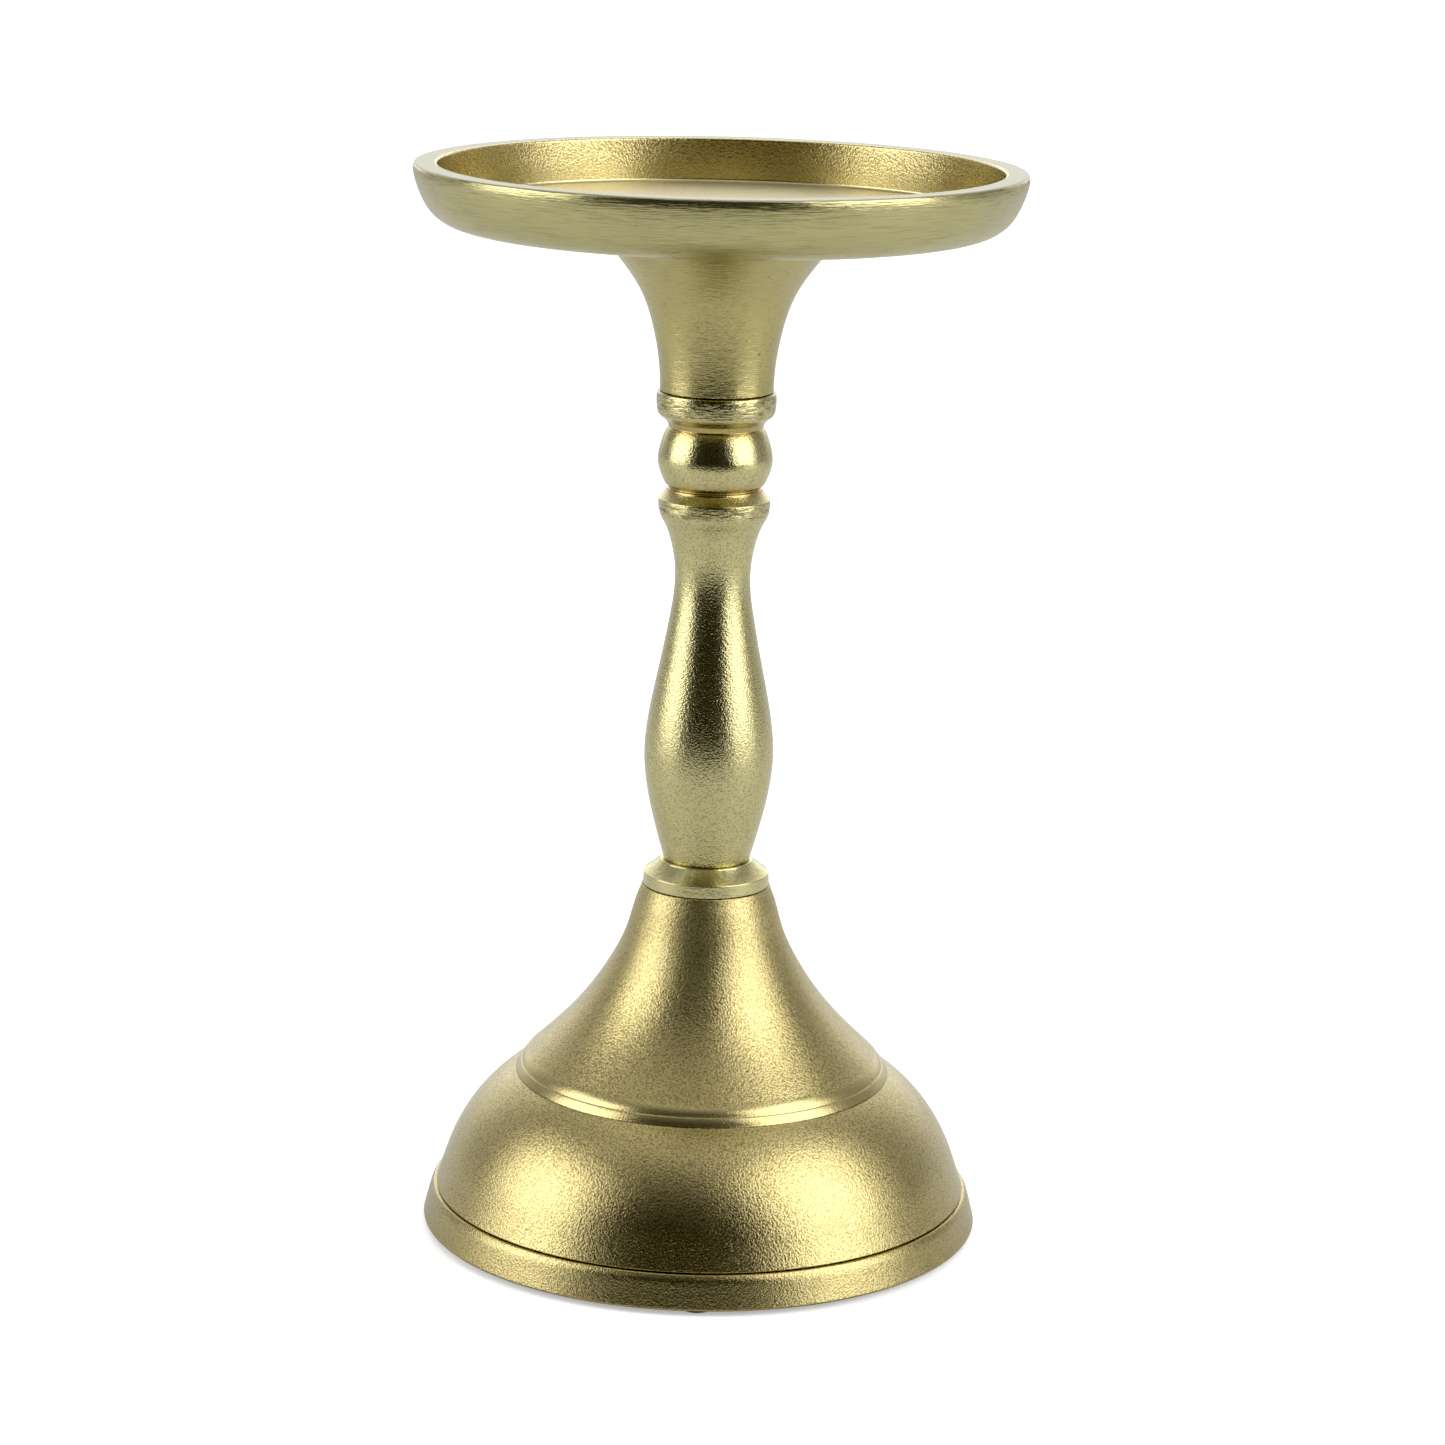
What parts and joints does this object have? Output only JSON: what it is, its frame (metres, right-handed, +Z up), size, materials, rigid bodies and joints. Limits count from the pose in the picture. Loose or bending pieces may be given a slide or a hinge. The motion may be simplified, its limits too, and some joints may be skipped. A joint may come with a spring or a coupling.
{
  "type": "pillar candle holder",
  "caption": "Free-standing pillar candle holder: shallow round dish on a flared neck, baluster stem and bell foot, held together by a hidden tie rod.",
  "frame": {"origin": "on the table, under the centre of the foot", "axes": "+Z up along the axis of the stem, through the centre of the dish; the part is round, so X and Y are marked only by the felt pads"},
  "size_m": [0.102, 0.102, 0.1838],
  "materials": {
    "dish_gold": "satin champagne gold, fine turning lines",
    "neck_gold": "satin champagne gold, fine turning lines",
    "stem_gold": "champagne gold, lightly grained, ball turned bright",
    "collar_gold": "champagne gold, turned bright",
    "bell_gold": "champagne gold over a grained casting",
    "foot_gold": "champagne gold over a grained casting",
    "rod_zinc": "bright zinc plated, threaded",
    "fastener_zinc": "bright zinc plated",
    "felt": "dark grey-brown pressed felt"
  },
  "bodies": {
    "root": {"candle_dish": "dish_gold", "flared_neck": "neck_gold", "baluster_stem": "stem_gold", "stem_collar": "collar_gold", "base_bell": "bell_gold", "foot_ring": "foot_gold", "tie_rod": "rod_zinc", "flat_washer": "fastener_zinc", "spring_washer": "fastener_zinc", "hex_nut": "fastener_zinc", "felt_pad_1": "felt", "felt_pad_2": "felt", "felt_pad_3": "felt", "felt_pad_4": "felt"}
  },
  "joints": []
}
